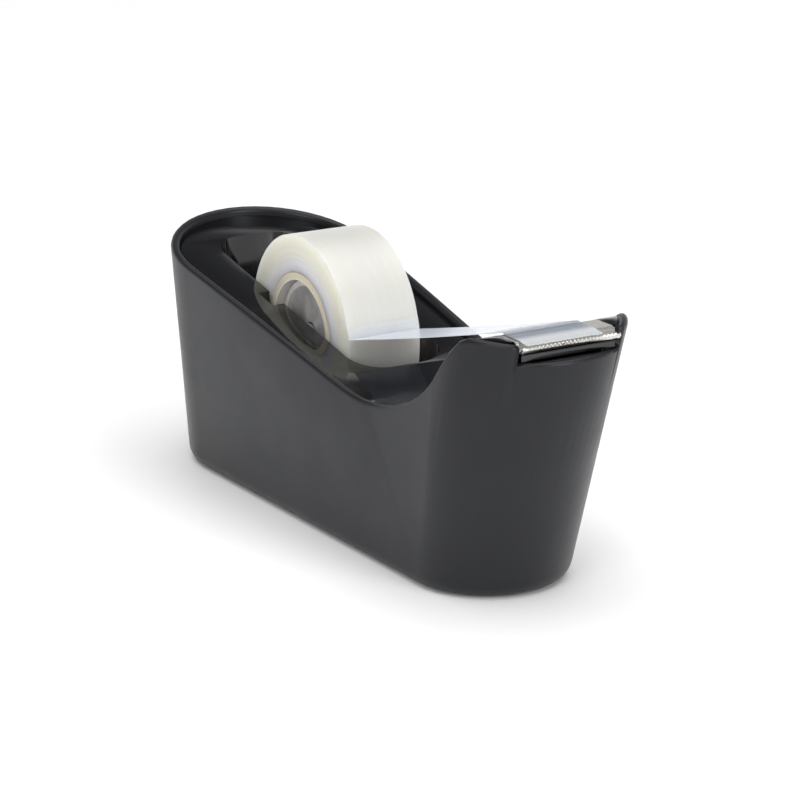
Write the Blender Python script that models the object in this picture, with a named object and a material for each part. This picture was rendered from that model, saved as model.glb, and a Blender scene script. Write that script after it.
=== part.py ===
"""Weighted desktop tape dispenser with a drafted egg-shaped body, a roll of tape and a cutter.

Units are metres, Z is up and +X is the cutter end. The part is symmetric about Y = 0 apart
from the roll, which sits a little to one side of its hub. Positions along the body are first
written from the roll's axis (X = 0 there) and then shifted so that the origin lies under the
middle of the whole part.
"""
import math

import bmesh
import bpy
from mathutils import Vector

# ---- driving dimensions -------------------------------------------------------------------

# Roll, hub and axle.
TAPE_W = 0.0190
TAPE_R = 0.0236
CORE_BORE = 0.0254
CORE_WALL = 0.0018
ROLL_MAX = 0.0290            # radius of the fullest roll that the well takes
ROLL_Y = -0.0019             # the roll's centre, off the middle of the hub
HUB_SHORT = 0.0005           # hub's face inside the tape's edge
HUB_WALL = 0.0014
WEB_T = 0.0012
WEB_RECESS = 0.0006
AXLE_R = 0.0020
AXLE_END_GAP = 0.0006        # axle's end to the outer face of its slot

# Body plan: two circles joined by tangents, both growing with height.
TAIL_GAP = 0.00955           # well's back wall to the tail at the foot
REAR_R = 0.0227              # rear circle at the foot
NOSE_X = 0.0647              # centre of the front circle at the foot
NOSE_R = 0.0188              # front circle at the foot
NOSE_LEAN = 0.225            # forward travel of the front circle per unit height
REAR_DRAFT = 0.066           # growth of the rear circle per unit height
NOSE_DRAFT = 0.059           # growth of the front circle per unit height

WALL = 0.0022                # shell wall
FIT = 0.0003                 # clearance between assembled pieces
FOOT_Z = 0.0006              # shell's lower edge, just clear of the table
FOOT_ROUND = 0.0030          # radius round the shell's lower edge
LIP_R = WALL / 2             # full round on the shell's upper edge

# Side view of the rim above the axle: the tail part is measured from the tail at the foot,
# and the front part back from the upright face under the cutter.
RIM_TAIL = (
    (-0.00895, 0.0187),
    (0.02245, 0.0121),
    (0.05505, 0.0060),
)
RIM_FRONT = (
    (-0.0714, 0.0012),
    (-0.0604, -0.0010),
    (-0.0499, -0.0025),
    (-0.0394, -0.0014),
    (-0.0289, 0.0025),
    (-0.0204, 0.0085),
    (-0.0134, 0.0168),
    (-0.0090, 0.0207),
    (-0.0039, 0.0212),
    (0.0036, 0.0203),
)
DECK_DROP = 0.0015           # deck below the rim
EAR_DROP = 0.0002            # deck below the rim at the ears
DECK_T = 0.0018              # deck thickness

# Well for the roll and the two axle slots.
WELL_SIDE_GAP = 0.0025       # tape's width to the well's sides
WELL_END_GAP = 0.0020        # fullest roll to the well's front wall
WELL_BACK_GAP = 0.0061       # fullest roll, slid back to the entry, to the well's back wall
WELL_FLOOR_GAP = 0.0009      # fullest roll to the floor
WELL_CORNER = 0.0080
WELL_WALL = 0.0015
SLOT_TRAVEL = 0.0104         # seat to the middle of the entry behind it
SLOT_ENTRY_GAP = 0.0034      # entry's width over the axle's
SLOT_DEPTH = 0.0031          # slots' reach into each side of the well

# Cutter and the notch under it.
BLADE_SPARE = 0.0029         # blade's reach past each edge of the tape
BLADE_T = 0.0005
BLADE_DEPTH = 0.0076         # back of the blade to the upright face under it
TEETH = 26
TOOTH_H = 0.0007
PLATFORM_RISE = 0.0201       # blade's seat above the axle
NOTCH_GAP = 0.00035          # blade's ends to the notch's sides
NOTCH_DROP = 0.0035          # notch's ledge below the blade's seat
FACE_SET = 0.00390           # upright face back from the nose at the ledge
STRIP_T = 0.00015

# Base, ballast and screws.
PAD_T = 0.0013
PLATE_T = 0.0020
SLAB_T = 0.0050
SLAB_GAP = 0.0008            # slab to the underside of the well
PILLAR_R = 0.0029
SCREW_R = 0.0013
SCREW_HEAD_R = 0.0024

# ---- derived sizes ------------------------------------------------------------------------

PLATE_Z = PAD_T + FIT
SLAB_Z = PLATE_Z + PLATE_T + FIT
CORE_R = CORE_BORE / 2
HUB_R = CORE_R - FIT
HUB_HALF = TAPE_W / 2 - HUB_SHORT
SEAT = AXLE_R + FIT

WELL_HALF = TAPE_W / 2 + WELL_SIDE_GAP
WELL_FRONT = ROLL_MAX + WELL_END_GAP
WELL_BACK = -ROLL_MAX - SLOT_TRAVEL - WELL_BACK_GAP
WELL_FLOOR = SLAB_Z + SLAB_T + SLAB_GAP + WELL_WALL
AXLE_Z = WELL_FLOOR + WELL_FLOOR_GAP + ROLL_MAX
SLOT_OUT = WELL_HALF + SLOT_DEPTH
SLOT_HALF = AXLE_R + SLOT_ENTRY_GAP / 2
AXLE_HALF = SLOT_OUT - AXLE_END_GAP

PLATFORM_Z = AXLE_Z + PLATFORM_RISE
NOTCH_Z = PLATFORM_Z - NOTCH_DROP
BLADE_HALF = TAPE_W / 2 + BLADE_SPARE
NOTCH_HALF = BLADE_HALF + NOTCH_GAP
TAIL = WELL_BACK - TAIL_GAP
REAR_X = TAIL + REAR_R
FACE_X = NOSE_X + NOSE_LEAN * NOTCH_Z + NOSE_R + NOSE_DRAFT * NOTCH_Z - FACE_SET
BLADE_BACK = FACE_X - BLADE_DEPTH
RIM = [(TAIL + x, AXLE_Z + z) for x, z in RIM_TAIL]
RIM += [(FACE_X + x, AXLE_Z + z) for x, z in RIM_FRONT]
RIM_END = RIM[-1][0]
ABOVE = PLATFORM_Z + 0.0188  # level clear above everything that is cut


def rim_height(x):
    """Height of the rim at X, through the RIM points with matched slopes."""
    pts = RIM
    if x <= pts[0][0]:
        return pts[0][1]
    if x >= pts[-1][0]:
        return pts[-1][1]
    i = max(k for k in range(len(pts) - 1) if pts[k][0] <= x)
    slopes = []
    for k in (i, i + 1):
        a = pts[max(k - 1, 0)]
        b = pts[min(k + 1, len(pts) - 1)]
        slopes.append((b[1] - a[1]) / (b[0] - a[0]))
    h = pts[i + 1][0] - pts[i][0]
    t = (x - pts[i][0]) / h
    return (
        (2 * t ** 3 - 3 * t ** 2 + 1) * pts[i][1]
        + (t ** 3 - 2 * t ** 2 + t) * h * slopes[0]
        + (3 * t ** 2 - 2 * t ** 3) * pts[i + 1][1]
        + (t ** 3 - t ** 2) * h * slopes[1]
    )


def circles(z, inset):
    """Rear and front plan circles at height z, drawn in by inset, and their tangent angle."""
    rear_r = REAR_R + REAR_DRAFT * z - inset
    nose_r = NOSE_R + NOSE_DRAFT * z - inset
    nose_x = NOSE_X + NOSE_LEAN * z
    tilt = math.asin((rear_r - nose_r) / (nose_x - REAR_X))
    return rear_r, nose_x, nose_r, tilt


def nose_tip(z):
    rear_r, nose_x, nose_r, tilt = circles(z, 0)
    return nose_x + nose_r


def half_width(x):
    """Half the body's width at the foot, on its straight flank."""
    rear_r, nose_x, nose_r, tilt = circles(0, 0)
    return (rear_r - (x - REAR_X) * math.sin(tilt)) / math.cos(tilt)


MID_X = (nose_tip(NOTCH_Z - 0.001) + REAR_X - REAR_R - REAR_DRAFT * (RIM[0][1] - 0.002)) / 2


def plan_point(kind, t, z, inset, side=1, notch=NOTCH_HALF, jog=0.00002):
    """A point of the body plan at height z. side is +1 or -1 for the half it lies on."""
    rear_r, nose_x, nose_r, tilt = circles(z, inset)
    top = math.pi / 2 - tilt
    if kind == "rear":
        ang = math.pi + (top - math.pi) * t
        return Vector((REAR_X + rear_r * math.cos(ang), side * rear_r * math.sin(ang), z))
    if kind == "flank":
        a = Vector((REAR_X + rear_r * math.cos(top), rear_r * math.sin(top), z))
        b = Vector((nose_x + nose_r * math.cos(top), nose_r * math.sin(top), z))
        p = a.lerp(b, t)
        return Vector((p.x, side * p.y, z))
    if kind == "corner":
        end = math.asin(min(0.95, (notch + jog) / nose_r))
        ang = top + (end - top) * t
        return Vector((nose_x + nose_r * math.cos(ang), side * nose_r * math.sin(ang), z))
    y = (notch - jog) * t
    return Vector((nose_x + math.sqrt(nose_r ** 2 - y ** 2), side * y, z))


def half_columns(rear, flank, corner, notch):
    """Stations along one half of the plan, from the tail round to the nose."""
    out = [("rear", i / rear) for i in range(rear + 1)]
    out += [("flank", i / flank) for i in range(1, flank)]
    out += [("corner", i / corner) for i in range(corner + 1)]
    out += [("notch", 1 - i / notch) for i in range(notch + 1)]
    return out


def plan_columns(rear=12, flank=34, corner=9, notch=6):
    """Stations round the whole plan as (kind, t, side), each once."""
    half = half_columns(rear, flank, corner, notch)
    near = [(k, t, -1) for k, t in half]
    far = [(k, t, 1) for k, t in half[1:-1]]
    return near + far[::-1]


# ---- mesh helpers -------------------------------------------------------------------------


def material(name, colour, metallic=0.0, roughness=0.5, alpha=1.0):
    mat = bpy.data.materials.new(name)
    mat.use_nodes = True
    bsdf = mat.node_tree.nodes["Principled BSDF"]
    bsdf.inputs["Base Color"].default_value = (*colour, 1.0)
    bsdf.inputs["Metallic"].default_value = metallic
    bsdf.inputs["Roughness"].default_value = roughness
    bsdf.inputs["Alpha"].default_value = alpha
    return mat


def add_object(name, bm, mat, collection, origin=(0, 0, 0)):
    """Link a finished mesh, written about origin, and shifted into the part's own frame."""
    bmesh.ops.recalc_face_normals(bm, faces=bm.faces[:])
    place = Vector(origin)
    bmesh.ops.translate(bm, verts=bm.verts[:], vec=-place)
    mesh = bpy.data.meshes.new(name)
    bm.to_mesh(mesh)
    bm.free()
    obj = bpy.data.objects.new(name, mesh)
    obj.location = place - Vector((MID_X, 0, 0))
    collection.objects.link(obj)
    if mat is not None:
        obj.data.materials.append(mat)
    return obj


def cutter(name, bm):
    bmesh.ops.triangulate(bm, faces=bm.faces[:])
    obj = add_object(name, bm, None, CUTTERS)
    obj.hide_render = True
    obj.display_type = "WIRE"
    return obj


def combine(obj, other, operation, solver="EXACT"):
    mod = obj.modifiers.new(other.name, "BOOLEAN")
    mod.operation = operation
    mod.solver = solver
    mod.object = other


def skin(bm, rings, wrap=False):
    """Quads between rings of points. wrap joins the last ring back to the first."""
    rows = [[bm.verts.new(p) for p in ring] for ring in rings]
    count = len(rows[0])
    pairs = list(zip(rows, rows[1:] + rows[:1])) if wrap else list(zip(rows, rows[1:]))
    for a, b in pairs:
        for i in range(count):
            j = (i + 1) % count
            bm.faces.new((a[i], a[j], b[j], b[i]))
    return rows


def capped(bm, rings):
    rows = skin(bm, rings)
    bm.faces.new(rows[0])
    bm.faces.new(rows[-1])


def prism(outline, low, high, axis):
    """Solid from a closed outline. axis 'z': outline is (x, y); axis 'y': outline is (x, z)."""
    bm = bmesh.new()
    if axis == "z":
        capped(bm, [[(x, y, level) for x, y in outline] for level in (low, high)])
    else:
        capped(bm, [[(x, level, z) for x, z in outline] for level in (low, high)])
    return bm


def rounded_box_outline(x0, x1, half, radius, steps=7):
    pts = []
    for cx, cy, start in (
        (x1 - radius, half - radius, 0),
        (x0 + radius, half - radius, 90),
        (x0 + radius, radius - half, 180),
        (x1 - radius, radius - half, 270),
    ):
        for i in range(steps + 1):
            ang = math.radians(start + 90 * i / steps)
            pts.append((cx + radius * math.cos(ang), cy + radius * math.sin(ang)))
    return pts


def circle(radius, count, cx=0.0, cy=0.0):
    return [
        (cx + radius * math.cos(2 * math.pi * i / count), cy + radius * math.sin(2 * math.pi * i / count))
        for i in range(count)
    ]


def turned(profile, count):
    """Closed solid of revolution about the roll's axis. profile is a loop of (y, radius)."""
    bm = bmesh.new()
    rings = []
    for y, radius in profile:
        rings.append([(x, y, AXLE_Z + z) for x, z in circle(radius, count)])
    skin(bm, rings, wrap=True)
    return bm


def plan_loft(levels, inset, columns):
    """Solid of the body plan between levels. It has no notch, so its front is plain round."""
    front = (NOSE_R - inset) / 2
    bm = bmesh.new()
    capped(bm, [[plan_point(k, t, z, inset, s, front) for k, t, s in columns] for z in levels])
    return bm


# ---- sub-parts ----------------------------------------------------------------------------


def column_top(kind, t, inset=0.0):
    """Height of the shell's upper edge on one station of the plan."""
    if kind == "notch":
        return NOTCH_Z
    z = 0.05
    for _ in range(8):
        z = rim_height(plan_point(kind, t, z, inset).x)
    return z


def body_shell():
    """Outer shell, open below, with a full-round lip that follows the rim."""
    columns = plan_columns()
    rings = []
    for i in range(5):
        ang = math.radians(90 * i / 4)
        inset = FOOT_ROUND * (1 - math.sin(ang)) * 0.5
        z = FOOT_Z + FOOT_ROUND * (1 - math.cos(ang))
        rings.append([plan_point(k, t, z, inset, s) for k, t, s in columns])
    for share in (0.35, 0.7):
        ring = []
        for k, t, s in columns:
            z = FOOT_ROUND + (column_top(k, t) - FOOT_ROUND - LIP_R) * share
            ring.append(plan_point(k, t, z, 0, s))
        rings.append(ring)
    for i in range(7):
        ang = math.radians(180 * i / 6)
        ring = []
        for k, t, s in columns:
            z = column_top(k, t) - LIP_R + LIP_R * math.sin(ang)
            p = plan_point(k, t, z, LIP_R * (1 - math.cos(ang)), s)
            if k == "notch" and i > 3:
                p.x = min(p.x, FACE_X + FIT)
            ring.append(p)
        rings.append(ring)
    for drop, shelf in ((0.0026, True), (0.0030, False)):
        ring = []
        for k, t, s in columns:
            p = plan_point(k, t, column_top(k, t) - LIP_R - drop, WALL, s)
            if k == "notch" and shelf:
                p.x = min(p.x, FACE_X + FIT)
            ring.append(p)
        rings.append(ring)
    rings.append([plan_point(k, t, FOOT_Z + FOOT_ROUND, WALL, s) for k, t, s in columns])
    rings.append([plan_point(k, t, FOOT_Z, WALL, s) for k, t, s in columns])
    bm = bmesh.new()
    skin(bm, rings, wrap=True)
    return add_object("body_shell", bm, SATIN_BLACK, PARTS)


def deck_height(x):
    """Top of the deck: below the rim along the slope, level with it at the ears."""
    share = min(1.0, max(0.0, (x - FACE_X + 0.0254) / 0.014))
    return rim_height(x) - DECK_DROP + (DECK_DROP - EAR_DROP) * share


def deck_insert():
    """Glossy deck with the well, the axle slots, the pillars and the seat of the cutter."""
    rear_end = TAIL - 0.008
    bend = RIM[3][0]
    xs = [rear_end + (bend - rear_end) * i / 10 for i in range(11)]
    xs += [bend + (RIM_END + 0.004 - bend) * i / 40 for i in range(1, 41)]
    top = [(x, deck_height(x)) for x in xs]
    under = []
    for i, (x, z) in enumerate(top):
        a = top[max(i - 1, 0)]
        b = top[min(i + 1, len(top) - 1)]
        slope = math.atan2(b[1] - a[1], b[0] - a[0])
        under.append((x + DECK_T * math.sin(slope), z - DECK_T * math.cos(slope)))
    front = BLADE_BACK + 0.0025
    under = [p for p in under if p[0] < front]
    under = [p for i, p in enumerate(under) if i == 0 or p[0] > max(q[0] for q in under[:i]) + 0.0002]
    under += [(front + 0.0008, NOTCH_Z + FIT), (top[-1][0], NOTCH_Z + FIT)]
    wide = REAR_R + NOSE_R
    deck = add_object(
        "deck_insert", prism(top + under[::-1], -wide, wide, "y"), GLOSS_BLACK, PARTS
    )
    bm = bmesh.new()
    rings = []
    for z in (RIM[5][1] - 0.0076, ABOVE - 0.0080):
        ring = []
        for k, t, s in plan_columns(14, 4, 10, 6):
            p = plan_point(k, t, z, WALL + FIT, s, NOTCH_HALF - 0.0007, 0.0003)
            if k == "notch":
                p.x = FACE_X
            ring.append(p)
        rings.append(ring)
    capped(bm, rings)
    combine(deck, cutter("cut_deck_plan", bm), "INTERSECT", "MANIFOLD")

    tub = rounded_box_outline(
        WELL_BACK - WELL_WALL, WELL_FRONT + WELL_WALL, WELL_HALF + WELL_WALL,
        WELL_CORNER + WELL_WALL,
    )
    bm = bmesh.new()
    low = WELL_FLOOR - WELL_WALL
    capped(bm, [
        [(x, y, low) for x, y in tub],
        [(x, y, deck_height(x) - DECK_T / 2) for x, y in tub],
    ])
    combine(deck, cutter("add_well", bm), "UNION", "MANIFOLD")

    back = -SLOT_TRAVEL - SLOT_HALF
    ahead = -SLOT_TRAVEL + SLOT_HALF
    for side in (-1, 1):
        near = side * (WELL_HALF + 0.0005)
        far = side * (SLOT_OUT + WELL_WALL)
        block = [
            (back - WELL_WALL, AXLE_Z - SEAT - WELL_WALL),
            (SEAT + WELL_WALL, AXLE_Z - SEAT - WELL_WALL),
            (SEAT + WELL_WALL, deck_height(SEAT + WELL_WALL) - DECK_T / 2),
            (back - WELL_WALL, deck_height(back - WELL_WALL) - DECK_T / 2),
        ]
        combine(deck, cutter("add_slot_%d" % side, prism(block, near, far, "y")), "UNION", "MANIFOLD")

    for i, (x, y) in enumerate(PILLARS):
        bm = bmesh.new()
        capped(bm, [
            [(px, py, SLAB_Z) for px, py in circle(PILLAR_R, 16, x, y)],
            [(px, py, deck_height(px) - DECK_T / 2) for px, py in circle(PILLAR_R, 16, x, y)],
        ])
        combine(deck, cutter("add_pillar_%d" % i, bm), "UNION", "MANIFOLD")

    well = rounded_box_outline(WELL_BACK, WELL_FRONT, WELL_HALF, WELL_CORNER)
    combine(deck, cutter("cut_well", prism(well, WELL_FLOOR, ABOVE, "z")), "DIFFERENCE", "MANIFOLD")

    entry = [(back, ABOVE), (back, AXLE_Z - SEAT), (ahead, AXLE_Z - SEAT), (ahead, ABOVE)]
    bm = prism(entry, -SLOT_OUT, SLOT_OUT, "y")
    combine(deck, cutter("cut_entry", bm), "DIFFERENCE", "MANIFOLD")
    seat = [
        (SEAT * math.sin(math.radians(22.5 * i)), AXLE_Z - SEAT * math.cos(math.radians(22.5 * i)))
        for i in range(9)
    ]
    middle = -SLOT_TRAVEL
    seat = [(middle, AXLE_Z - SEAT)] + seat + [(middle, AXLE_Z + SEAT)]
    bm = prism(seat, -SLOT_OUT, SLOT_OUT, "y")
    combine(deck, cutter("cut_seat", bm), "DIFFERENCE", "MANIFOLD")

    recess = [
        (BLADE_BACK - 0.0015, ABOVE),
        (BLADE_BACK - 0.0015, PLATFORM_Z + 0.0012),
        (BLADE_BACK - 0.0006, PLATFORM_Z),
        (FACE_X - 0.0015, PLATFORM_Z),
        (FACE_X - 0.0011, PLATFORM_Z - 0.0018),
        (FACE_X + 0.0146, PLATFORM_Z - 0.0018),
        (FACE_X + 0.0146, ABOVE),
    ]
    half_recess = BLADE_HALF + FIT
    bm = prism(recess, -half_recess, half_recess, "y")
    combine(deck, cutter("cut_recess", bm), "DIFFERENCE", "MANIFOLD")

    for i, (x, y) in enumerate(PILLARS):
        bm = prism(circle(SCREW_R + FIT / 2, 12, x, y), 0.0, SCREW_TIP + 0.0042, "z")
        combine(deck, cutter("cut_pilot_%d" % i, bm), "DIFFERENCE", "MANIFOLD")
    return deck


def base_plate():
    """Flat plate closing the underside, held by the screws."""
    bm = plan_loft((PLATE_Z, PLATE_Z + PLATE_T), WALL + FIT, plan_columns(12, 4, 8, 4))
    plate = add_object("base_plate", bm, DARK_PLASTIC, PARTS)
    for i, (x, y) in enumerate(PILLARS + BALLAST_SCREWS):
        bm = prism(circle(SCREW_R + FIT, 12, x, y), 0.0, 0.02, "z")
        combine(plate, cutter("cut_plate_%d" % i, bm), "DIFFERENCE")
    return plate


def nonskid_pad():
    """Foam sheet under the base plate, with clearance holes round the screw heads."""
    bm = plan_loft((0.0, PAD_T), WALL + 0.0012, plan_columns(12, 4, 8, 4))
    pad = add_object("nonskid_pad", bm, FOAM, PARTS)
    for i, (x, y) in enumerate(PILLARS + BALLAST_SCREWS):
        bm = prism(circle(SCREW_HEAD_R + 0.0006, 16, x, y), -0.01, 0.01, "z")
        combine(pad, cutter("cut_pad_%d" % i, bm), "DIFFERENCE")
    return pad


def ballast():
    """Steel slab below the well and a cast block in the hollow of the nose."""
    slab_outline = rounded_box_outline(SLAB_X0, WELL_FRONT, SLAB_HALF, 0.007)
    bm = prism(slab_outline, SLAB_Z, SLAB_Z + SLAB_T, "z")
    slab = add_object("ballast_slab", bm, STEEL, PARTS)
    block_outline = rounded_box_outline(BLOCK_X0, BLOCK_X1, BLOCK_HALF, 0.003)
    bm = bmesh.new()
    capped(bm, [
        [(x, y, SLAB_Z) for x, y in block_outline],
        [(x, y, BLOCK_TOP - 0.0015) for x, y in block_outline],
        [(BLOCK_MID + (x - BLOCK_MID) * 0.92, y * 0.92, BLOCK_TOP) for x, y in block_outline],
    ])
    block = add_object("ballast_block", bm, IRON, PARTS)
    for i, (x, y) in enumerate(BALLAST_SCREWS):
        bm = prism(circle(SCREW_R + FIT, 12, x, y), 0.0, SCREW_TIP + FIT, "z")
        combine(slab if x < WELL_FRONT else block, cutter("cut_ballast_%d" % i, bm), "DIFFERENCE")


def screw(name, x, y):
    """Pan-head screw driven up through the base plate, with a cross recess in its head."""
    bm = bmesh.new()
    head = PLATE_Z - 0.0001
    low = 0.0003
    rings = []
    for z, r in (
        (low, SCREW_HEAD_R * 0.75),
        (low + 0.0003, SCREW_HEAD_R),
        (head, SCREW_HEAD_R),
        (head, SCREW_R),
        (SCREW_TIP - SCREW_R, SCREW_R),
        (SCREW_TIP, SCREW_R * 0.3),
    ):
        rings.append([(px, py, z) for px, py in circle(r, 16, x, y)])
    capped(bm, rings)
    return add_object(name, bm, STEEL, PARTS)


def cutter_blade():
    """Stamped blade: landing plate, folded front edge, groove and an upturned toothed lip."""
    mid = PLATFORM_Z + FIT + BLADE_T / 2
    line = [
        (BLADE_BACK, mid),
        (FACE_X - 0.0020, mid),
        (FACE_X - 0.0014, mid - 0.0002),
        (FACE_X - 0.0011, mid - 0.0008),
        (FACE_X - 0.0007, mid - 0.0015),
        (FACE_X - 0.0001, mid - 0.0018),
        (FACE_X + 0.0006, mid - 0.0016),
        (FACE_X + 0.0012, mid - 0.0009),
    ]
    lip = Vector((0.0004, 0.0, 0.0006)).normalized() * TOOTH_H
    rows = []
    count = TEETH * 2
    for i in range(count + 1):
        y = -BLADE_HALF + 2 * BLADE_HALF * i / count
        tip = Vector((line[-1][0], 0, line[-1][1])) + (lip if i % 2 else Vector((0, 0, 0)))
        rows.append([(x, y, z) for x, z in line] + [(tip.x, y, tip.z)])
    bm = bmesh.new()
    upper, lower = [], []
    for row in rows:
        up, lo = [], []
        for j, p in enumerate(row):
            a = Vector(row[max(j - 1, 0)])
            b = Vector(row[min(j + 1, len(row) - 2 if j < len(row) - 1 else j)])
            d = (b - a)
            if j >= len(row) - 2:
                d = Vector((lip.x, 0, lip.z))
            d.y = 0
            d.normalize()
            n = Vector((-d.z, 0, d.x)) * BLADE_T / 2
            thin = 0.35 if j == len(row) - 1 else 1.0
            up.append(bm.verts.new(Vector(p) + n * thin))
            lo.append(bm.verts.new(Vector(p) - n * thin))
        upper.append(up)
        lower.append(lo)
    last = len(upper[0]) - 1
    for i in range(count):
        for j in range(last):
            bm.faces.new((upper[i][j], upper[i][j + 1], upper[i + 1][j + 1], upper[i + 1][j]))
            bm.faces.new((lower[i][j], lower[i + 1][j], lower[i + 1][j + 1], lower[i][j + 1]))
        for j in (0, last):
            bm.faces.new((upper[i][j], upper[i + 1][j], lower[i + 1][j], lower[i][j]))
    for i in (0, count):
        for j in range(last):
            bm.faces.new((upper[i][j], lower[i][j], lower[i][j + 1], upper[i][j + 1]))
    return add_object("cutter_blade", bm, STEEL, PARTS)


def hub():
    """Two-piece spool: a tube with one web, a cap web pressed into the open end, and the pin."""
    origin = (0, 0, AXLE_Z)
    web = HUB_HALF - WEB_RECESS
    spool = [
        (-HUB_HALF, HUB_R),
        (HUB_HALF, HUB_R),
        (HUB_HALF, HUB_R - HUB_WALL),
        (-web + WEB_T, HUB_R - HUB_WALL),
        (-web + WEB_T, AXLE_R + FIT + 0.0012),
        (-web + WEB_T + 0.003, AXLE_R + FIT + 0.0012),
        (-web + WEB_T + 0.003, AXLE_R + FIT),
        (-web, AXLE_R + FIT),
        (-web, HUB_R - HUB_WALL),
        (-HUB_HALF, HUB_R - HUB_WALL),
    ]
    add_object("hub_spool", turned(spool, 48), HUB_PLASTIC, PARTS, origin)
    ring = HUB_R - HUB_WALL - FIT
    cap = [
        (web - 0.004, ring),
        (web, ring),
        (web, AXLE_R + FIT),
        (web - WEB_T - 0.003, AXLE_R + FIT),
        (web - WEB_T - 0.003, AXLE_R + FIT + 0.0012),
        (web - WEB_T, AXLE_R + FIT + 0.0012),
        (web - WEB_T, ring - 0.0012),
        (web - 0.004, ring - 0.0012),
    ]
    add_object("hub_cap", turned(cap, 48), HUB_PLASTIC, PARTS, origin)
    bm = bmesh.new()
    chamfer = 0.0004
    rings = []
    for y, r in (
        (-AXLE_HALF, AXLE_R - chamfer),
        (-AXLE_HALF + chamfer, AXLE_R),
        (AXLE_HALF - chamfer, AXLE_R),
        (AXLE_HALF, AXLE_R - chamfer),
    ):
        rings.append([(x, y, AXLE_Z + z) for x, z in circle(r, 24)])
    capped(bm, rings)
    add_object("hub_axle", bm, STEEL, PARTS, origin)


def tape_roll():
    """Core ring and the winding round it."""
    origin = (0, ROLL_Y, AXLE_Z)
    y0 = ROLL_Y - TAPE_W / 2
    y1 = ROLL_Y + TAPE_W / 2
    outer = CORE_R + CORE_WALL
    core = [(y0, CORE_R), (y0, outer), (y1, outer), (y1, CORE_R)]
    add_object("tape_core", turned(core, 56), CORE_PLASTIC, PARTS, origin)
    edge = 0.00025
    inner = outer + FIT / 3
    wind = [
        (y0, inner),
        (y0, TAPE_R - edge),
        (y0 + edge, TAPE_R),
        (y1 - edge, TAPE_R),
        (y1, TAPE_R - edge),
        (y1, inner),
    ]
    add_object("tape_winding", turned(wind, 72), TAPE_FILM, PARTS, origin)


def tape_strip():
    """Free tape: off the front of the roll, up to the cutter and cut off on its teeth."""
    leave = math.radians(9.5)
    start = Vector((
        (TAPE_R + FIT) * math.cos(leave), 0, AXLE_Z + (TAPE_R + FIT) * math.sin(leave)
    ))
    top = PLATFORM_Z + FIT + BLADE_T + STRIP_T
    line = [
        start,
        Vector((BLADE_BACK - 0.0003, 0, top + 0.0002)),
        Vector((FACE_X - 0.0018, 0, top)),
        Vector((FACE_X - 0.0010, 0, top - 0.0001)),
        Vector((FACE_X + 0.0002, 0, top - 0.00028)),
        Vector((FACE_X + 0.0015, 0, top - 0.00045)),
    ]
    bm = bmesh.new()
    y0 = ROLL_Y - TAPE_W / 2
    count = 38
    upper, lower = [], []
    for i in range(count + 1):
        y = y0 + TAPE_W * i / count
        up, lo = [], []
        for j, p in enumerate(line):
            q = Vector((p.x, y, p.z))
            if j == len(line) - 1 and i % 2:
                q.x += 0.0005
            up.append(bm.verts.new(q + Vector((0, 0, STRIP_T))))
            lo.append(bm.verts.new(q))
        upper.append(up)
        lower.append(lo)
    last = len(line) - 1
    for i in range(count):
        for j in range(last):
            bm.faces.new((upper[i][j], upper[i][j + 1], upper[i + 1][j + 1], upper[i + 1][j]))
            bm.faces.new((lower[i][j], lower[i + 1][j], lower[i + 1][j + 1], lower[i][j + 1]))
        for j in (0, last):
            bm.faces.new((upper[i][j], upper[i + 1][j], lower[i + 1][j], lower[i][j]))
    for i in (0, count):
        for j in range(last):
            bm.faces.new((upper[i][j], lower[i][j], lower[i][j + 1], upper[i][j + 1]))
    return add_object("tape_strip", bm, TAPE_FILM, PARTS)


# ---- build --------------------------------------------------------------------------------

for old in list(bpy.data.objects):
    bpy.data.objects.remove(old, do_unlink=True)

PARTS = bpy.data.collections.new("tape_dispenser")
CUTTERS = bpy.data.collections.new("cutters")
bpy.context.scene.collection.children.link(PARTS)
bpy.context.scene.collection.children.link(CUTTERS)

SATIN_BLACK = material("satin_black_plastic", (0.045, 0.045, 0.048), roughness=0.42)
GLOSS_BLACK = material("gloss_black_plastic", (0.012, 0.012, 0.014), roughness=0.12)
DARK_PLASTIC = material("dark_plastic", (0.03, 0.03, 0.03), roughness=0.6)
FOAM = material("nonskid_foam", (0.02, 0.02, 0.02), roughness=0.95)
STEEL = material("steel", (0.6, 0.6, 0.62), metallic=1.0, roughness=0.25)
IRON = material("cast_iron", (0.08, 0.08, 0.085), metallic=0.8, roughness=0.7)
HUB_PLASTIC = material("hub_plastic", (0.42, 0.41, 0.42), roughness=0.4)
CORE_PLASTIC = material("core_plastic", (0.75, 0.68, 0.52), roughness=0.5)
TAPE_FILM = material("tape_film", (0.85, 0.86, 0.80), roughness=0.35)

PILLAR_X = WELL_FRONT + WELL_WALL + PILLAR_R + 0.0031
PILLAR_Y = half_width(PILLAR_X) - WALL - FIT - PILLAR_R - 0.0010
BLOCK_X0 = PILLAR_X + PILLAR_R + 0.0036
BLOCK_X1 = NOSE_X + 0.0060
BLOCK_MID = (BLOCK_X0 + BLOCK_X1) / 2
BLOCK_HALF = NOSE_R - WALL - 0.0018
BLOCK_TOP = RIM[5][1] - 0.0056
SLAB_X0 = WELL_BACK + 0.003
SLAB_HALF = min(
    half_width(WELL_FRONT) - WALL - FIT - 0.0012,
    math.sqrt((REAR_R - WALL - FIT) ** 2 - (SLAB_X0 - REAR_X) ** 2) - 0.0006,
)
PILLARS = [
    (WELL_BACK - WELL_WALL - 0.0028, 0.0),
    (PILLAR_X, -PILLAR_Y),
    (PILLAR_X, PILLAR_Y),
    (BLOCK_X1 + PILLAR_R + 0.0020, 0.0),
]
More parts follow.
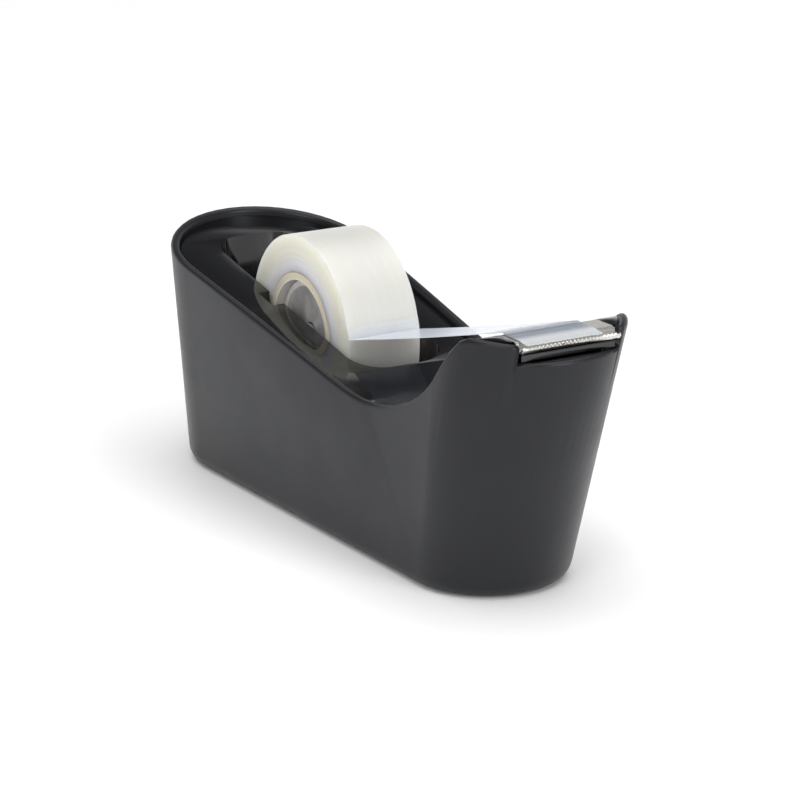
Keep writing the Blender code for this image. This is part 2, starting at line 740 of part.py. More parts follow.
BALLAST_SCREWS = [
    (WELL_BACK + 0.014, 0.0),
    (WELL_FRONT - 0.012, 0.0),
    (BLOCK_MID, -BLOCK_HALF + 0.0070),
    (BLOCK_MID, BLOCK_HALF - 0.0070),
]
SCREW_TIP = SLAB_Z + SLAB_T - 0.0012

body_shell()
deck_insert()
base_plate()
nonskid_pad()
ballast()
for number, (sx, sy) in enumerate(PILLARS, 1):
    screw("base_screw_%d" % number, sx, sy)
for number, (sx, sy) in enumerate(BALLAST_SCREWS, 1):
    screw("ballast_screw_%d" % number, sx, sy)
cutter_blade()
hub()
tape_roll()
tape_strip()
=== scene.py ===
import math
import random

import bmesh
import bpy
from mathutils import Matrix, Vector


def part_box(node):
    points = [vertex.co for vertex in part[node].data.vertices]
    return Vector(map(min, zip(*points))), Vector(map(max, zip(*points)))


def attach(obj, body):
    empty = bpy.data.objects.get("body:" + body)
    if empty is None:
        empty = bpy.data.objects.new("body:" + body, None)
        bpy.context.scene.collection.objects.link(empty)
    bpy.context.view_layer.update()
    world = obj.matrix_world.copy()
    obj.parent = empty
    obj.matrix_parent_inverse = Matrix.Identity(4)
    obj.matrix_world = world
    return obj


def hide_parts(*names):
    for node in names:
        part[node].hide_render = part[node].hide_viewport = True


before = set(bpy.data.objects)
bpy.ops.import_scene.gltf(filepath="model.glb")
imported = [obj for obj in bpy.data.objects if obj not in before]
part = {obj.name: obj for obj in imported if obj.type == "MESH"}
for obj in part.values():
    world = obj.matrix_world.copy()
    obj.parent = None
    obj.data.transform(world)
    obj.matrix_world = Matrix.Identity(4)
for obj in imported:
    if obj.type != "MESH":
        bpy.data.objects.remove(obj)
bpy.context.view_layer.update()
bpy.ops.object.select_all(action="DESELECT")

# ---- Camera -------------------------------------------------------------------------------
# A long lens a little above the desk, off the cutter end, so that the flank, the deck and the
# cutter all show.

CAMERA_PLACE = (0.51494, -0.30272, 0.21229)
CAMERA_AIM = (-0.00915, 0.00961, 0.02404)
SENSOR_WIDTH_MM = 36
LENS_MM = 119.71

bpy.ops.object.camera_add(location=CAMERA_PLACE)
camera = bpy.context.object
camera.name = "desk_camera"
camera.data.sensor_width = SENSOR_WIDTH_MM
camera.data.lens = LENS_MM
camera.data.clip_start = 0.01
camera.data.clip_end = 20
aim = Vector(CAMERA_AIM) - camera.location
camera.rotation_euler = aim.to_track_quat("-Z", "Y").to_euler()
bpy.context.scene.camera = camera

# ---- Studio -------------------------------------------------------------------------------
# A white table top without an edge in view, a white band behind it, a dark ceiling and one
# broad soft light straight above, so that the polished deck stays black and its lip glints.

TABLE_SIZE = 9
TABLE_TOP = -0.0002
LIGHT_AIM = (0, 0, 0.03)

bpy.context.scene.view_settings.view_transform = "Standard"


def new_finish(name):
    """A node material with its principled shader, ready for its own textures."""
    finish = bpy.data.materials.new(name)
    finish.use_nodes = True
    tree = finish.node_tree
    return finish, tree, tree.nodes["Principled BSDF"]


def two_tone(tree, factor, low, high, start=0.0, end=1.0):
    """A colour ramp between two tones of one finish."""
    ramp = tree.nodes.new("ShaderNodeValToRGB")
    ramp.color_ramp.elements[0].position = start
    ramp.color_ramp.elements[0].color = (*low, 1)
    ramp.color_ramp.elements[1].position = end
    ramp.color_ramp.elements[1].color = (*high, 1)
    tree.links.new(factor, ramp.inputs["Fac"])
    return ramp.outputs["Color"]


def rescale(tree, value, start, end, low=0.0, high=1.0):
    """Carry a value's run from start to end over to a run from low to high."""
    run = tree.nodes.new("ShaderNodeMapRange")
    run.inputs["From Min"].default_value = start
    run.inputs["From Max"].default_value = end
    run.inputs["To Min"].default_value = low
    run.inputs["To Max"].default_value = high
    tree.links.new(value, run.inputs["Value"])
    return run.outputs["Result"]


bpy.ops.mesh.primitive_plane_add(size=TABLE_SIZE, location=(0, 0, TABLE_TOP))
table_top = bpy.context.object
table_top.name = "table_top"
white_laminate, tree, shader = new_finish("white_laminate")
shader.inputs["Roughness"].default_value = 0.55
shader.inputs["Specular IOR Level"].default_value = 0.25
speckle = tree.nodes.new("ShaderNodeTexNoise")
speckle.inputs["Scale"].default_value = 3
spot = tree.nodes.new("ShaderNodeTexCoord")
tree.links.new(spot.outputs["Object"], speckle.inputs["Vector"])
tint = two_tone(tree, speckle.outputs["Fac"], (0.90, 0.90, 0.90), (0.93, 0.93, 0.93))
tree.links.new(tint, shader.inputs["Base Color"])
table_top.data.materials.append(white_laminate)

surround = bpy.data.worlds.new("studio_surround")
bpy.context.scene.world = surround
surround.use_nodes = True
tree = surround.node_tree
direction = tree.nodes.new("ShaderNodeTexCoord")
height = tree.nodes.new("ShaderNodeSeparateXYZ")
bands = tree.nodes.new("ShaderNodeValToRGB")
stops = bands.color_ramp.elements
stops[0].position = 0.20
stops[0].color = (1.0, 1.0, 1.0, 1)
stops[1].position = 0.42
stops[1].color = (0.11, 0.115, 0.13, 1)
for where, level in ((0.72, 0.10), (0.86, 0.98), (1.0, 1.0)):
    stop = stops.new(where)
    stop.color = (level, level, level, 1)
tree.links.new(direction.outputs["Generated"], height.inputs["Vector"])
tree.links.new(height.outputs["Z"], bands.inputs["Fac"])
overhead_gain = rescale(tree, height.outputs["Z"], 0.66, 0.86, 1.0, 2.6)
backdrop = tree.nodes["Background"]
tree.links.new(bands.outputs["Color"], backdrop.inputs["Color"])
tree.links.new(overhead_gain, backdrop.inputs["Strength"])


def softbox(name, place, size, power):
    """A rectangular area light that faces the dispenser."""
    bpy.ops.object.light_add(type="AREA", location=place)
    box = bpy.context.object
    box.name = name
    box.data.shape = "RECTANGLE"
    box.data.size = size[0]
    box.data.size_y = size[1]
    box.data.energy = power
    facing = Vector(LIGHT_AIM) - box.location
    box.rotation_euler = facing.to_track_quat("-Z", "Y").to_euler()


softbox("front_softbox", (0.55, -0.75, 0.55), (0.5, 0.5), 3)
softbox("cutter_end_softbox", (0.95, 0.25, 0.45), (0.4, 0.5), 4)

# ---- Body shell ---------------------------------------------------------------------------
# The outer wall, moulded in charcoal plastic with a satin, very finely grained skin and a
# full-round lip. It is one moulding, open below, and the deck drops into it from above.

WELD = 0.000002
FLAT_ANGLE = math.radians(0.2)
EDGE_ANGLE = math.radians(40)


def shared_effect(name, inputs, outputs):
    """An empty node group with its sockets made."""
    group = bpy.data.node_groups.new(name, "ShaderNodeTree")
    for label, kind, value in inputs:
        socket = group.interface.new_socket(name=label, in_out="INPUT", socket_type=kind)
        socket.default_value = value
    for label, kind in outputs:
        group.interface.new_socket(name=label, in_out="OUTPUT", socket_type=kind)
    return group, group.nodes.new("NodeGroupInput"), group.nodes.new("NodeGroupOutput")


grain, into, out = shared_effect(
    "moulded_grain",
    [("Grain Scale", "NodeSocketFloat", 2200.0), ("Flow Scale", "NodeSocketFloat", 22.0)],
    [("Height", "NodeSocketFloat"), ("Tone", "NodeSocketFloat")],
)
spot = grain.nodes.new("ShaderNodeTexCoord")
fine = grain.nodes.new("ShaderNodeTexNoise")
fine.inputs["Detail"].default_value = 2.0
coarse = grain.nodes.new("ShaderNodeTexNoise")
coarse.inputs["Detail"].default_value = 3.0
coarse.inputs["Distortion"].default_value = 0.6
grain.links.new(spot.outputs["Object"], fine.inputs["Vector"])
grain.links.new(spot.outputs["Object"], coarse.inputs["Vector"])
grain.links.new(into.outputs["Grain Scale"], fine.inputs["Scale"])
grain.links.new(into.outputs["Flow Scale"], coarse.inputs["Scale"])
grain.links.new(fine.outputs["Fac"], out.inputs["Height"])
grain.links.new(coarse.outputs["Fac"], out.inputs["Tone"])

marks, into, out = shared_effect(
    "handling_marks",
    [
        ("Clean", "NodeSocketFloat", 0.1),
        ("Handled", "NodeSocketFloat", 0.2),
        ("Patch Scale", "NodeSocketFloat", 60.0),
    ],
    [("Roughness", "NodeSocketFloat")],
)
spot = marks.nodes.new("ShaderNodeTexCoord")
patch = marks.nodes.new("ShaderNodeTexNoise")
patch.inputs["Detail"].default_value = 5.0
patch.inputs["Roughness"].default_value = 0.62
spread = marks.nodes.new("ShaderNodeMapRange")
spread.inputs["From Min"].default_value = 0.38
spread.inputs["From Max"].default_value = 0.68
marks.links.new(spot.outputs["Object"], patch.inputs["Vector"])
marks.links.new(into.outputs["Patch Scale"], patch.inputs["Scale"])
marks.links.new(patch.outputs["Fac"], spread.inputs["Value"])
marks.links.new(into.outputs["Clean"], spread.inputs["To Min"])
marks.links.new(into.outputs["Handled"], spread.inputs["To Max"])
marks.links.new(spread.outputs["Result"], out.inputs["Roughness"])


def place_effect(tree, group, **values):
    """A shared effect placed in one material with that material's own values."""
    node = tree.nodes.new("ShaderNodeGroup")
    node.node_tree = group
    for label, value in values.items():
        node.inputs[label.replace("_", " ")].default_value = value
    return node


def relief(tree, shader, height, depth):
    """Surface relief of the given depth in metres."""
    bump = tree.nodes.new("ShaderNodeBump")
    bump.inputs["Distance"].default_value = depth
    tree.links.new(height, bump.inputs["Height"])
    tree.links.new(bump.outputs["Normal"], shader.inputs["Normal"])


def moulded_plastic(name, low, high, clean, handled, grain_scale, depth, flow=22.0):
    """Injection-moulded plastic: faint tone changes, handled patches and a fine grain."""
    finish, tree, shader = new_finish(name)
    skin = place_effect(tree, grain, Grain_Scale=grain_scale, Flow_Scale=flow)
    wear = place_effect(tree, marks, Clean=clean, Handled=handled)
    colour = two_tone(tree, skin.outputs["Tone"], low, high, 0.3, 0.7)
    tree.links.new(colour, shader.inputs["Base Color"])
    tree.links.new(wear.outputs["Roughness"], shader.inputs["Roughness"])
    relief(tree, shader, skin.outputs["Height"], depth)
    return finish, tree, shader


def work_on(piece):
    """Select one piece alone and make it the active one."""
    bpy.ops.object.select_all(action="DESELECT")
    piece.select_set(True)
    bpy.context.view_layer.objects.active = piece


def soften(piece, name, width, angle):
    """Round the edges that are sharper than the angle."""
    bevel = piece.modifiers.new(name, "BEVEL")
    bevel.width = width
    bevel.segments = 2
    bevel.limit_method = "ANGLE"
    bevel.angle_limit = angle
    bpy.ops.object.modifier_apply(modifier=bevel.name)


def finished_copy(name, node, body, finish, smooth=35.0, edge=0.0):
    """A welded copy of a CAD solid with its edges softened, shown in that solid's place."""
    mesh = part[node].data.copy()
    mesh.name = name
    piece = bpy.data.objects.new(name, mesh)
    bpy.context.scene.collection.objects.link(piece)
    work_on(piece)
    bpy.ops.object.mode_set(mode="EDIT")
    bpy.ops.mesh.select_all(action="SELECT")
    bpy.ops.mesh.remove_doubles(threshold=WELD)
    bpy.ops.mesh.dissolve_limited(angle_limit=FLAT_ANGLE)
    bpy.ops.object.mode_set(mode="OBJECT")
    if edge:
        soften(piece, "softened_edges", edge, EDGE_ANGLE)
    bpy.ops.object.shade_smooth_by_angle(angle=math.radians(smooth))
    mesh.materials.clear()
    mesh.materials.append(finish)
    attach(piece, body)
    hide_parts(node)


satin_charcoal, tree, shader = moulded_plastic(
    "satin_charcoal", (0.0082, 0.0082, 0.0095), (0.0120, 0.0122, 0.0142), 0.31, 0.40, 2600, 0.00002
)
shader.inputs["Specular IOR Level"].default_value = 0.31
shader.inputs["Specular Tint"].default_value = (0.93, 0.95, 1.0, 1.0)
finished_copy("outer_shell", "body_shell", "dispenser", satin_charcoal)

# ---- Deck ---------------------------------------------------------------------------------
# The sunk top with the well for the roll, moulded in black and polished. A little dust and a
# few wiped patches keep it from being a perfect mirror.

polished_black, tree, shader = moulded_plastic(
    "polished_black", (0.0028, 0.0028, 0.0032), (0.0045, 0.0045, 0.0052), 0.06, 0.15, 900, 0.000002
)
shader.inputs["Specular IOR Level"].default_value = 0.62
DECK_EDGE = 0.0003
finished_copy(
    "polished_deck", "deck_insert", "dispenser", polished_black, edge=DECK_EDGE
)

# ---- Underside ----------------------------------------------------------------------------
# A plain plate closes the body, screwed to pillars under the deck. A foam sheet glued below it
# grips the desk.


def dress(node, finish):
    """Give a CAD solid whose own shape is shown its finish."""
    part[node].data.materials.clear()
    part[node].data.materials.append(finish)


matte_black = moulded_plastic(
    "matte_black", (0.022, 0.022, 0.022), (0.032, 0.032, 0.033), 0.55, 0.68, 1400, 0.00004
)[0]
dress("base_plate", matte_black)

foam, tree, shader = new_finish("nonskid_foam")
spot = tree.nodes.new("ShaderNodeTexCoord")
cells = tree.nodes.new("ShaderNodeTexVoronoi")
cells.inputs["Scale"].default_value = 1500
tree.links.new(spot.outputs["Object"], cells.inputs["Vector"])
cell_walls = two_tone(
    tree, cells.outputs["Distance"], (0.008, 0.008, 0.008), (0.035, 0.035, 0.036), 0.0, 0.7
)
tree.links.new(cell_walls, shader.inputs["Base Color"])
shader.inputs["Roughness"].default_value = 0.95
relief(tree, shader, cells.outputs["Distance"], 0.00025)
dress("nonskid_pad", foam)

# ---- Ballast ------------------------------------------------------------------------------
# A sawn steel slab lies under the well and a rough cast block fills the nose, so that one
# hand can pull tape off. Both are closed in.

brushed, into, out = shared_effect(
    "brushed_lines",
    [("Along", "NodeSocketVector", (1.0, 1.0, 1.0)), ("Line Scale", "NodeSocketFloat", 900.0)],
    [("Height", "NodeSocketFloat")],
)
spot = brushed.nodes.new("ShaderNodeTexCoord")
stretch = brushed.nodes.new("ShaderNodeVectorMath")
stretch.operation = "MULTIPLY"
lines = brushed.nodes.new("ShaderNodeTexNoise")
lines.inputs["Detail"].default_value = 3.0
brushed.links.new(spot.outputs["Object"], stretch.inputs[0])
brushed.links.new(into.outputs["Along"], stretch.inputs[1])
brushed.links.new(stretch.outputs["Vector"], lines.inputs["Vector"])
brushed.links.new(into.outputs["Line Scale"], lines.inputs["Scale"])
brushed.links.new(lines.outputs["Fac"], out.inputs["Height"])


def bare_metal(name, low, high, roughness, along, line_scale, depth):
    """Bare metal with its working lines running one way."""
    finish, tree, shader = new_finish(name)
    work = place_effect(tree, brushed, Along=along, Line_Scale=line_scale)
    shader.inputs["Metallic"].default_value = 1.0
    height = work.outputs["Height"]
    tree.links.new(two_tone(tree, height, low, high, 0.3, 0.7), shader.inputs["Base Color"])
    worn = rescale(tree, height, 0.0, 1.0, roughness - 0.06, roughness + 0.08)
    tree.links.new(worn, shader.inputs["Roughness"])
    relief(tree, shader, height, depth)
    return finish


sawn_steel = bare_metal(
    "sawn_steel", (0.42, 0.42, 0.43), (0.56, 0.56, 0.57), 0.38, (0.02, 1, 1), 900, 0.00003
)
rough_iron = bare_metal(
    "rough_iron", (0.07, 0.07, 0.075), (0.12, 0.118, 0.115), 0.72, (1, 1, 1), 1300, 0.0002
)
dress("ballast_slab", sawn_steel)
dress("ballast_block", rough_iron)

# ---- Screws -------------------------------------------------------------------------------
# Eight plated pan-head screws with a cross recess: four hold the plate to the deck's pillars
# and four hold the ballast down.

zinc_plate = bare_metal(
    "zinc_plate", (0.55, 0.54, 0.50), (0.70, 0.69, 0.66), 0.30, (1, 1, 1), 500, 0.000004
)
HEAD_RADIUS = 0.0024
HEAD_THICKNESS = 0.0012
SHANK_RADIUS = 0.0013
RECESS_LENGTH = 0.0029
RECESS_WIDTH = 0.0007
RECESS_DEPTH = 0.0007
HEAD_ROUNDING = 0.00025
POINT_TAPER = 0.7

low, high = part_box("base_screw_1")
first_place = (low + high) / 2
bpy.ops.object.select_all(action="DESELECT")
bpy.ops.mesh.primitive_cylinder_add(
    vertices=32,
    radius=HEAD_RADIUS,
    depth=HEAD_THICKNESS,
    location=(first_place.x, first_place.y, low.z + HEAD_THICKNESS / 2),
)
screw = bpy.context.object
bpy.ops.object.transform_apply(location=True, rotation=True, scale=True)
bpy.ops.object.mode_set(mode="EDIT")
bpy.ops.mesh.select_mode(type="FACE")
shaping = bmesh.from_edit_mesh(screw.data)
for face in shaping.faces:
    face.select_set(face.normal.z > 0.9)
bmesh.update_edit_mesh(screw.data)
bpy.ops.mesh.inset(thickness=HEAD_RADIUS - SHANK_RADIUS)
shank = high.z - low.z - HEAD_THICKNESS - SHANK_RADIUS
bpy.ops.mesh.extrude_region_move(TRANSFORM_OT_translate={"value": (0, 0, shank)})
bpy.ops.mesh.inset(thickness=SHANK_RADIUS * POINT_TAPER)
bpy.ops.transform.translate(value=(0, 0, SHANK_RADIUS))
bpy.ops.object.mode_set(mode="OBJECT")
for turn in (0.0, math.pi / 2):
    bpy.ops.mesh.primitive_cube_add(
        size=1, location=(first_place.x, first_place.y, low.z), rotation=(0, 0, turn)
    )
    bit = bpy.context.object
    bit.scale = (RECESS_LENGTH, RECESS_WIDTH, RECESS_DEPTH * 2)
    bpy.ops.object.transform_apply(location=True, rotation=True, scale=True)
    work_on(screw)
    pressed = screw.modifiers.new("cross_recess", "BOOLEAN")
    pressed.operation = "DIFFERENCE"
    pressed.object = bit
    bpy.ops.object.modifier_apply(modifier=pressed.name)
    bpy.data.objects.remove(bit, do_unlink=True)
soften(screw, "rounded_head", HEAD_ROUNDING, math.radians(60))
bpy.ops.object.shade_smooth_by_angle(angle=math.radians(40))
screw.data.materials.append(zinc_plate)

for use, node in (("plate_screw", "base_screw"), ("weight_screw", "ballast_screw")):
    for number in range(1, 5):
        stands_for = "%s_%d" % (node, number)
        low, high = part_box(stands_for)
        mesh = screw.data.copy()
        mesh.transform(Matrix.Translation((low + high) / 2 - first_place))
        mesh.name = "%s.%d" % (use, number)
        copied = bpy.data.objects.new(mesh.name, mesh)
        bpy.context.scene.collection.objects.link(copied)
        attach(copied, "dispenser")
        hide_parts(stands_for)
bpy.data.objects.remove(screw, do_unlink=True)

# ---- Cutter -------------------------------------------------------------------------------
# A stamped strip of bright steel: a flat landing for the tape, a folded front edge, a groove
# and an upturned lip with a row of small teeth.

bright_steel = bare_metal(
    "bright_steel", (0.60, 0.57, 0.53), (0.74, 0.72, 0.69), 0.24, (1, 0.03, 1), 2600, 0.000004
)
finished_copy("toothed_cutter", "cutter_blade", "dispenser", bright_steel, smooth=25.0)

# ---- Hub ----------------------------------------------------------------------------------
# A two-piece spool in cloudy grey plastic turns on a steel pin that drops into two slots in
# the sides of the well.

wound_low, wound_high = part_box("tape_winding")
core_low, core_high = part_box("tape_core")
roll_centre = (wound_low + wound_high) / 2
tread_radius = (wound_high.z - wound_low.z) / 2
core_radius = (core_high.z - core_low.z) / 2
BORE_RADIUS = 0.0127

roll_radius, into, out = shared_effect(
    "roll_radius",
    [("Centre", "NodeSocketVector", tuple(roll_centre))],
    [("Radius", "NodeSocketFloat"), ("From Centre", "NodeSocketVector")],
)
spot = roll_radius.nodes.new("ShaderNodeTexCoord")
centred = roll_radius.nodes.new("ShaderNodeVectorMath")
centred.operation = "SUBTRACT"
flat = roll_radius.nodes.new("ShaderNodeVectorMath")
flat.operation = "MULTIPLY"
flat.inputs[1].default_value = (1, 0, 1)
reach = roll_radius.nodes.new("ShaderNodeVectorMath")
reach.operation = "LENGTH"
roll_radius.links.new(spot.outputs["Object"], centred.inputs[0])
roll_radius.links.new(into.outputs["Centre"], centred.inputs[1])
roll_radius.links.new(centred.outputs["Vector"], flat.inputs[0])
roll_radius.links.new(flat.outputs["Vector"], reach.inputs[0])
roll_radius.links.new(reach.outputs["Value"], out.inputs["Radius"])
roll_radius.links.new(centred.outputs["Vector"], out.inputs["From Centre"])


def multiplied(tree, first, second):
    """One colour darkened by another."""
    mix = tree.nodes.new("ShaderNodeMixRGB")
    mix.blend_type = "MULTIPLY"
    mix.inputs["Fac"].default_value = 1.0
    tree.links.new(first, mix.inputs["Color1"])
    tree.links.new(second, mix.inputs["Color2"])
    return mix.outputs["Color"]


def ringed_colour(tree, shader, inside, outside, start, end):
    """Fade the finish's colour from one tone to another with the distance from the axis."""
    old = shader.inputs["Base Color"].links[0].from_socket
    radius = place_effect(tree, roll_radius).outputs["Radius"]
    rings = two_tone(tree, rescale(tree, radius, start, end), inside, outside)
    tree.links.new(multiplied(tree, old, rings), shader.inputs["Base Color"])


cloudy_grey, tree, shader = moulded_plastic(
    "cloudy_grey",
    (0.66, 0.645, 0.63),
    (0.90, 0.885, 0.87),
    0.30,
    0.42,
    1200,
    0.00001,
    flow=260.0,
)
rim_start, rim_end = BORE_RADIUS - 0.0022, BORE_RADIUS - 0.0016
ringed_colour(tree, shader, (0.74, 0.74, 0.74), (1.0, 0.99, 0.97), rim_start, rim_end)
finished_copy("spool_body", "hub_spool", "roll", cloudy_grey)
finished_copy("spool_cap", "hub_cap", "roll", cloudy_grey)
pin_steel = bare_metal(
    "pin_steel", (0.55, 0.55, 0.56), (0.68, 0.68, 0.69), 0.22, (1, 0.05, 1), 2200, 0.000003
)
finished_copy("spool_pin", "hub_axle", "axle", pin_steel)

# ---- Tape core ----------------------------------------------------------------------------
# The cream ring that the tape is wound on, moulded in thick, slightly translucent plastic. It
# is pushed onto the hub and turns with it.

cream_ring, tree, shader = moulded_plastic(
    "cream_ring", (0.86, 0.83, 0.76), (0.94, 0.92, 0.86), 0.42, 0.52, 1500, 0.00001
)
tan_start, tan_end = BORE_RADIUS + 0.0001, BORE_RADIUS + 0.0006
ringed_colour(tree, shader, (1.0, 1.0, 1.0), (0.84, 0.76, 0.60), tan_start, tan_end)
shader.inputs["Subsurface Weight"].default_value = 0.4
shader.inputs["Subsurface Radius"].default_value = (0.004, 0.0035, 0.0025)
shader.inputs["Subsurface Scale"].default_value = 1.0
finished_copy("cream_core", "tape_core", "roll", cream_ring)

# ---- Tape winding -------------------------------------------------------------------------
# Many turns of frosted film. The turns don't lie quite level, so the sides of the roll are
# ringed with faint steps, and its tread is smooth with soft lengthways streaks.

TREAD_FACETS = 168
TREAD_EDGE = 0.00025
CORE_CLEARANCE = 0.0001
SIDE_RINGS = 26
RING_STEP = (tread_radius - TREAD_EDGE - core_radius - CORE_CLEARANCE) / SIDE_RINGS
SHALLOWEST_RING = 0.00001
DEEPEST_RING = 0.00009


def stretched(tree, vector, factors):
    """Coordinates scaled apart by axis, so that a pattern is drawn out along one of them."""
    scale = tree.nodes.new("ShaderNodeVectorMath")
    scale.operation = "MULTIPLY"
    scale.inputs[1].default_value = factors
    tree.links.new(vector, scale.inputs[0])
    return scale.outputs["Vector"]


frosted_film, tree, shader = new_finish("frosted_film")
radius = place_effect(tree, roll_radius)
outward = rescale(tree, radius.outputs["Radius"], core_radius, tread_radius)
# The colour runs in bands with the distance from the axis, as the turns differ in tone. Its last
# stop is painted shade: it makes the tread and its rounded edge darker than the sides, to tone
# down the tread where the light from above falls strongest.
ring_tones_and_tread_shade = two_tone(tree, outward, (0.74, 0.73, 0.715), (0.58, 0.575, 0.545))
for where, tone in (
    (0.30, (0.76, 0.755, 0.75, 1)),
    (0.45, (0.75, 0.74, 0.69, 1)),
    (0.72, (0.72, 0.71, 0.62, 1)),
    (0.94, (0.72, 0.71, 0.65, 1)),
):
    stop = ring_tones_and_tread_shade.node.color_ramp.elements.new(where)
    stop.color = tone
layers = tree.nodes.new("ShaderNodeTexNoise")
layers.noise_dimensions = "1D"
layers.inputs["Scale"].default_value = 4200
layers.inputs["Detail"].default_value = 4
tree.links.new(radius.outputs["Radius"], layers.inputs["W"])
across = stretched(tree, radius.outputs["From Centre"], (40, 900, 40))
streaks = tree.nodes.new("ShaderNodeTexNoise")
streaks.inputs["Scale"].default_value = 1.0
streaks.inputs["Detail"].default_value = 3
tree.links.new(across, streaks.inputs["Vector"])
both = tree.nodes.new("ShaderNodeMath")
both.operation = "MULTIPLY"
tree.links.new(layers.outputs["Fac"], both.inputs[0])
tree.links.new(streaks.outputs["Fac"], both.inputs[1])
shade = rescale(tree, both.outputs["Value"], 0.10, 0.42, 0.96, 1.02)
toned = tree.nodes.new("ShaderNodeVectorMath")
toned.operation = "SCALE"
tree.links.new(ring_tones_and_tread_shade, toned.inputs[0])
tree.links.new(shade, toned.inputs["Scale"])
tree.links.new(toned.outputs["Vector"], shader.inputs["Base Color"])
gloss = rescale(tree, streaks.outputs["Fac"], 0.0, 1.0, 0.26, 0.40)
tree.links.new(gloss, shader.inputs["Roughness"])
shader.inputs["Subsurface Weight"].default_value = 0.8
shader.inputs["Subsurface Radius"].default_value = (0.0095, 0.0088, 0.0062)
shader.inputs["Subsurface Scale"].default_value = 1.0
relief(tree, shader, both.outputs["Value"], 0.00006)

bpy.ops.object.select_all(action="DESELECT")
bpy.ops.mesh.primitive_cylinder_add(
    vertices=TREAD_FACETS,
    radius=tread_radius,
    depth=wound_high.y - wound_low.y,
    location=roll_centre,
    rotation=(math.pi / 2, 0, 0),
)
winding = bpy.context.object
winding.name = winding.data.name = "wound_tape"
bpy.ops.object.transform_apply(location=True, rotation=True, scale=True)
lay = random.Random(11)
for side in (-1, 1):
    bpy.ops.object.mode_set(mode="EDIT")
    bpy.ops.mesh.select_mode(type="FACE")
    bpy.ops.mesh.select_all(action="DESELECT")
    wound = bmesh.from_edit_mesh(winding.data)
    for face in wound.faces:
        face.select_set(face.normal.y * side > 0.9 and len(face.verts) > 4)
    bmesh.update_edit_mesh(winding.data)
    bpy.ops.mesh.inset(thickness=TREAD_EDGE)
    sunk = 0.0
    for ring in range(SIDE_RINGS):
        level = -lay.uniform(SHALLOWEST_RING, DEEPEST_RING)
        bpy.ops.mesh.inset(thickness=RING_STEP, depth=level - sunk)
        sunk = level
    bpy.ops.object.mode_set(mode="OBJECT")
bpy.ops.object.mode_set(mode="EDIT")
wound = bmesh.from_edit_mesh(winding.data)
for face in wound.faces:
    face.select_set(len(face.verts) > 4)
bmesh.update_edit_mesh(winding.data)
bpy.ops.mesh.bridge_edge_loops()
bpy.ops.mesh.select_all(action="SELECT")
bpy.ops.mesh.normals_make_consistent(inside=False)
bpy.ops.object.mode_set(mode="OBJECT")
bpy.ops.object.shade_smooth_by_angle(angle=math.radians(38))
winding.data.materials.append(frosted_film)
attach(winding, "roll")
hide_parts("tape_winding")

# ---- Free tape ----------------------------------------------------------------------------
# The strip pulled off the roll: clear film with a matte back. It peels off the tread at a
# sharp bend, runs straight to the cutter, and is stuck down and torn off along its teeth.

strip_low, strip_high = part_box("tape_strip")
blade_low, blade_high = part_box("cutter_blade")
FILM = 0.00015
TREAD_GAP = 0.00022
PEEL_ANGLE = math.radians(9.5)
CLING_ANGLE = math.radians(6.5)
CLING_STEPS = 5
FREE_STEPS = 24
SAG = 0.00025
CROWN = 0.00012
CUTS_ACROSS = 38
TEAR_DEPTH = 0.0005
LANDING_TOP = blade_high.z + FILM


def on_tread(angle, lift):
    """The point at this angle round the roll, this far above its tread."""
    radius = tread_radius + lift
    return (roll_centre.x + radius * math.cos(angle), roll_centre.z + radius * math.sin(angle))


course = [
    on_tread(PEEL_ANGLE + CLING_ANGLE * (1 - i / CLING_STEPS), TREAD_GAP)
    for i in range(CLING_STEPS + 1)
]
start = Vector((course[-1][0] + 0.00035, 0, course[-1][1] + 0.00002))
landing = Vector((blade_low.x - 0.0003, 0, LANDING_TOP + 0.0002))
course.append((course[-1][0] + 0.00010, course[-1][1] - 0.00012))
first_free = len(course)
for i in range(FREE_STEPS + 1):
    point = start.lerp(landing, i / FREE_STEPS)
    sag = SAG * math.sin(math.pi * i / FREE_STEPS)
    course.append((point.x, point.z - sag))
front = blade_high.x
for back, drop in (
    (0.0085, 0.0),
    (0.0066, 0.0),
    (0.0048, 0.0),
    (0.0032, 0.0),
    (0.0026, 0.00010),
    (0.0020, 0.00022),
    (0.0014, 0.00030),
    (0.0008, 0.00034),
    (0.0003, 0.00038),
):
    course.append((front - back, LANDING_TOP - drop))

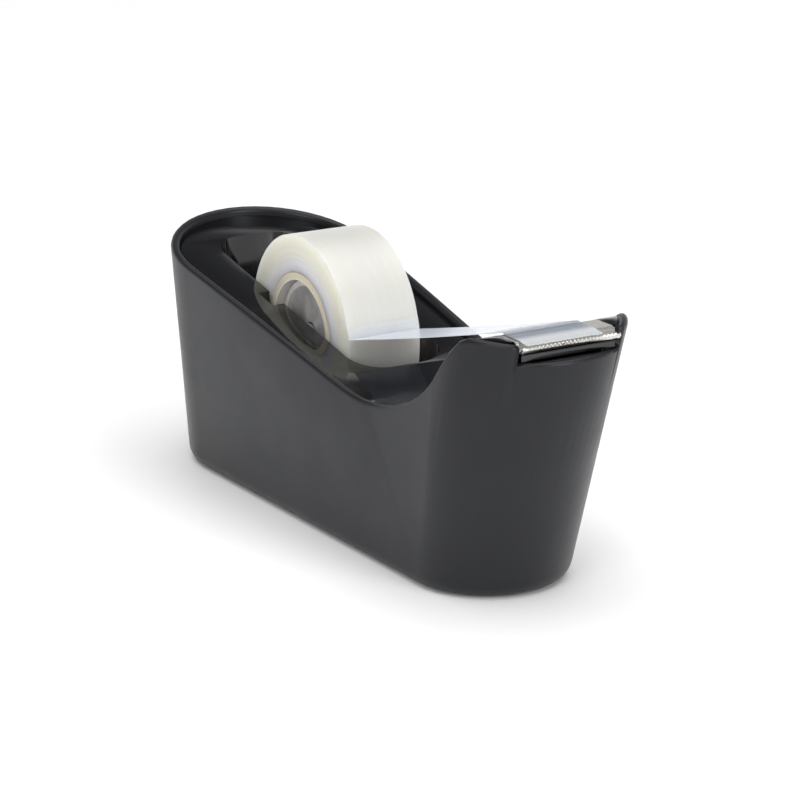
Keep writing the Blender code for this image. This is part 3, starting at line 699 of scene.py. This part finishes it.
cling_end = on_tread(PEEL_ANGLE, TREAD_GAP)[0]
clear_film, tree, shader = new_finish("clear_film")
spot = tree.nodes.new("ShaderNodeTexCoord")
place = tree.nodes.new("ShaderNodeSeparateXYZ")
tree.links.new(spot.outputs["Object"], place.inputs["Vector"])
along = rescale(tree, place.outputs["X"], cling_end, front)
# The colour along the strip is partly painted light. It is bluish white on the free run. A painted
# dark band, where the film lies on the cutter's landing, stands in for the dark steel seen through
# it. It is lighter again, a painted light, where it crosses the cutter's bright fold and teeth.
film_tint_and_painted_light = two_tone(tree, along, (0.86, 0.91, 0.99), (0.72, 0.74, 0.75), 0.74, 0.955)
for where, tone in ((0.82, (0.24, 0.28, 0.34, 1)), (0.925, (0.28, 0.31, 0.36, 1))):
    stop = film_tint_and_painted_light.node.color_ramp.elements.new(where)
    stop.color = tone
run = stretched(tree, spot.outputs["Object"], (30, 700, 30))
threads = tree.nodes.new("ShaderNodeTexNoise")
threads.inputs["Scale"].default_value = 1.0
threads.inputs["Detail"].default_value = 3
tree.links.new(run, threads.inputs["Vector"])
streaks = two_tone(tree, threads.outputs["Fac"], (0.92, 0.93, 0.95), (1.0, 1.0, 1.0), 0.3, 0.7)
tree.links.new(multiplied(tree, film_tint_and_painted_light, streaks), shader.inputs["Base Color"])
shader.inputs["Roughness"].default_value = 0.22
clear_end, cloudy_start = cling_end - 0.0004, cling_end + 0.0009
cloudiness = rescale(tree, place.outputs["X"], clear_end, cloudy_start, 0.10, 0.60)
tree.links.new(cloudiness, shader.inputs["Alpha"])
relief(tree, shader, threads.outputs["Fac"], 0.00003)

last = len(course) - 1
bpy.ops.object.select_all(action="DESELECT")
bpy.ops.mesh.primitive_grid_add(
    x_subdivisions=last, y_subdivisions=CUTS_ACROSS, size=1, location=(0, 0, 0)
)
strip = bpy.context.object
strip.name = strip.data.name = "free_tape"
half_tape = (strip_high.y - strip_low.y) / 2
tape_middle = (strip_high.y + strip_low.y) / 2
for point in strip.data.vertices:
    station = round((point.co.x + 0.5) * last)
    column = round((point.co.y + 0.5) * CUTS_ACROSS)
    across = 2 * column / CUTS_ACROSS - 1
    x, z = course[station]
    if station == last and column % 2:
        x += TEAR_DEPTH
    if first_free <= station < first_free + FREE_STEPS - 1:
        z += CROWN * (1 - across ** 2)
    point.co = (x, tape_middle + half_tape * across, z)
thickness = strip.modifiers.new("film_thickness", "SOLIDIFY")
thickness.thickness = FILM * 0.6
thickness.offset = 1.0
bpy.ops.object.modifier_apply(modifier=thickness.name)
bpy.ops.object.shade_smooth_by_angle(angle=math.radians(30))
strip.data.materials.append(clear_film)
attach(strip, "dispenser")
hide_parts("tape_strip")
